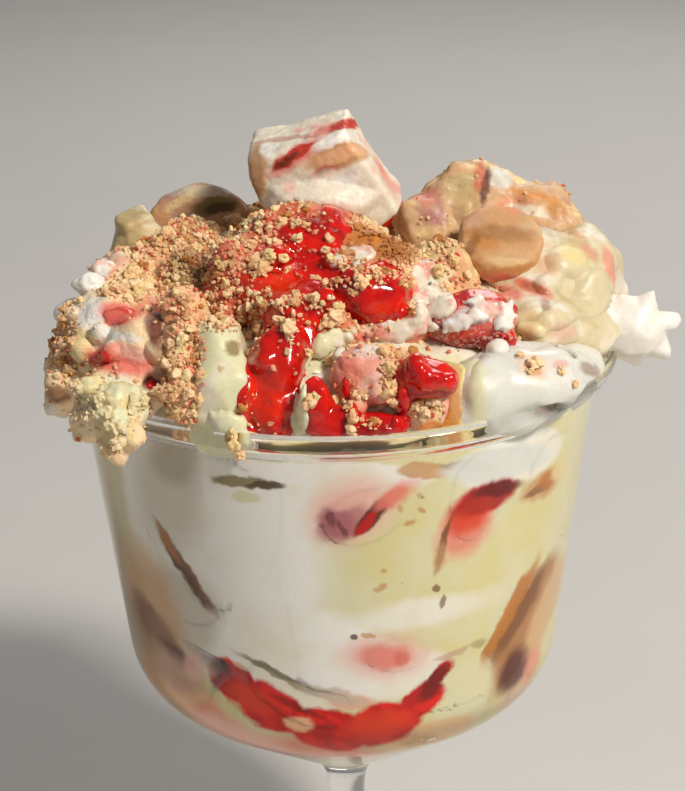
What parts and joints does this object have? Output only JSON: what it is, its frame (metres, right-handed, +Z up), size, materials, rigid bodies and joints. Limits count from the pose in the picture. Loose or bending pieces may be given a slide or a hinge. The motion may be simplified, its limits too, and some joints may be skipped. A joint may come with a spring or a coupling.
{
  "type": "banana pudding",
  "caption": "Clear stemmed dessert cup of vanilla pudding, cream, wafers and strawberry sauce in layers, heaped above its rim with crumbed cream, cake and strawberries.",
  "frame": {"origin": "centre of the foot's flat underside", "axes": "+Z up along the stem, -Y towards the side with the sauce stream, +X to the piped star"},
  "size_m": [0.1084, 0.098, 0.1619],
  "materials": {
    "glass": "clear smooth plastic",
    "cream": "soft whipped cream, smooth",
    "cream_crumbed": "cream coated with cookie crumbs",
    "pudding": "smooth moist pudding",
    "strawberry": "wet cut strawberry",
    "pale_strawberry": "strawberry veiled with cream",
    "sauce": "glossy strawberry sauce",
    "wafer": "soaked wafer cookie",
    "cake": "moist cake crumb",
    "banana": "cut banana"
  },
  "bodies": {
    "root": {"back_banana_slice": "banana", "back_cake_lump": "cake", "back_left_lump": "cream_crumbed", "back_left_strawberry": "strawberry", "back_right_lump": "cream_crumbed", "back_strawberry": "strawberry", "back_wafer": "wafer", "banana_slice_low": "banana", "centre_right_lump": "cream_crumbed", "cream_heap": "cream", "cream_layer": "cream", "crumbed_leg": "cream_crumbed", "crumbed_mound": "sauce", "front_banana_slice": "banana", "front_cake_chunk": "pale_strawberry", "front_cream_ridge": "cream", "front_jelly_left": "sauce", "front_jelly_right": "sauce", "glass_cup": "glass", "left_back_lump": "cream_crumbed", "left_clump": "cream_crumbed", "left_cream_peak": "cream", "oval_wafer": "wafer", "piped_star": "cream", "pool_strawberry": "sauce", "pudding_layer": "pudding", "pudding_peak": "pudding", "right_back_clump": "cream_crumbed", "right_back_wafer": "wafer", "right_clump": "cream", "soaked_wafer_left": "cake", "strawberry_sauce_layer": "sauce", "strawberry_slice": "strawberry", "top_cake_block": "cream_crumbed", "wafer_back": "wafer", "wafer_high_right": "wafer", "wafer_left": "wafer", "wafer_low_right": "wafer", "wafer_right": "wafer", "wall_strawberry_back": "strawberry", "wall_strawberry_low": "pale_strawberry", "wall_strawberry_right": "strawberry", "wall_strawberry_slice": "pale_strawberry", "white_dollop": "cream"}
  },
  "joints": []
}
